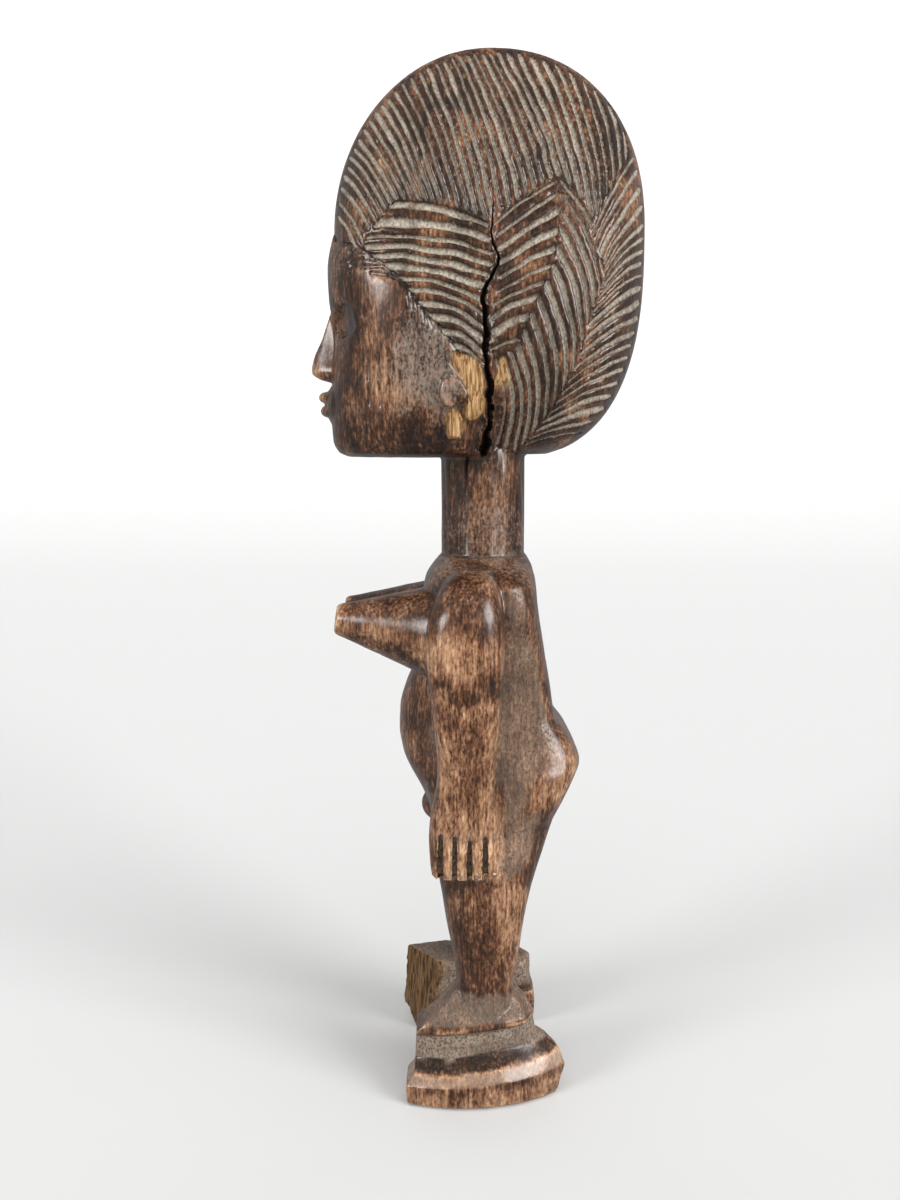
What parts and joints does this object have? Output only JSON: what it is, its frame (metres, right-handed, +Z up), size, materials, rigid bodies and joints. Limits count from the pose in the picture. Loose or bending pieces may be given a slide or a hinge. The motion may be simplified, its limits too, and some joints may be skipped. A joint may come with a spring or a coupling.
{
  "type": "ibeji figure",
  "caption": "Standing carved wooden female twin figure with a tall combed coiffure, pointed breasts, hands held at the thighs and worn feet with moulded edges.",
  "frame": {"origin": "on the ground under the middle of the figure's box", "axes": "+Z up from the soles to the crown; the figure faces -Y and its left side is +X"},
  "size_m": [0.072, 0.089, 0.28],
  "materials": {
    "carved_hardwood": "dark oiled patina, rubbed to orange-brown on the raised parts, with grey dust in the hair's grooves"
  },
  "bodies": {
    "root": {"ibeji_figure": "carved_hardwood"}
  },
  "joints": []
}
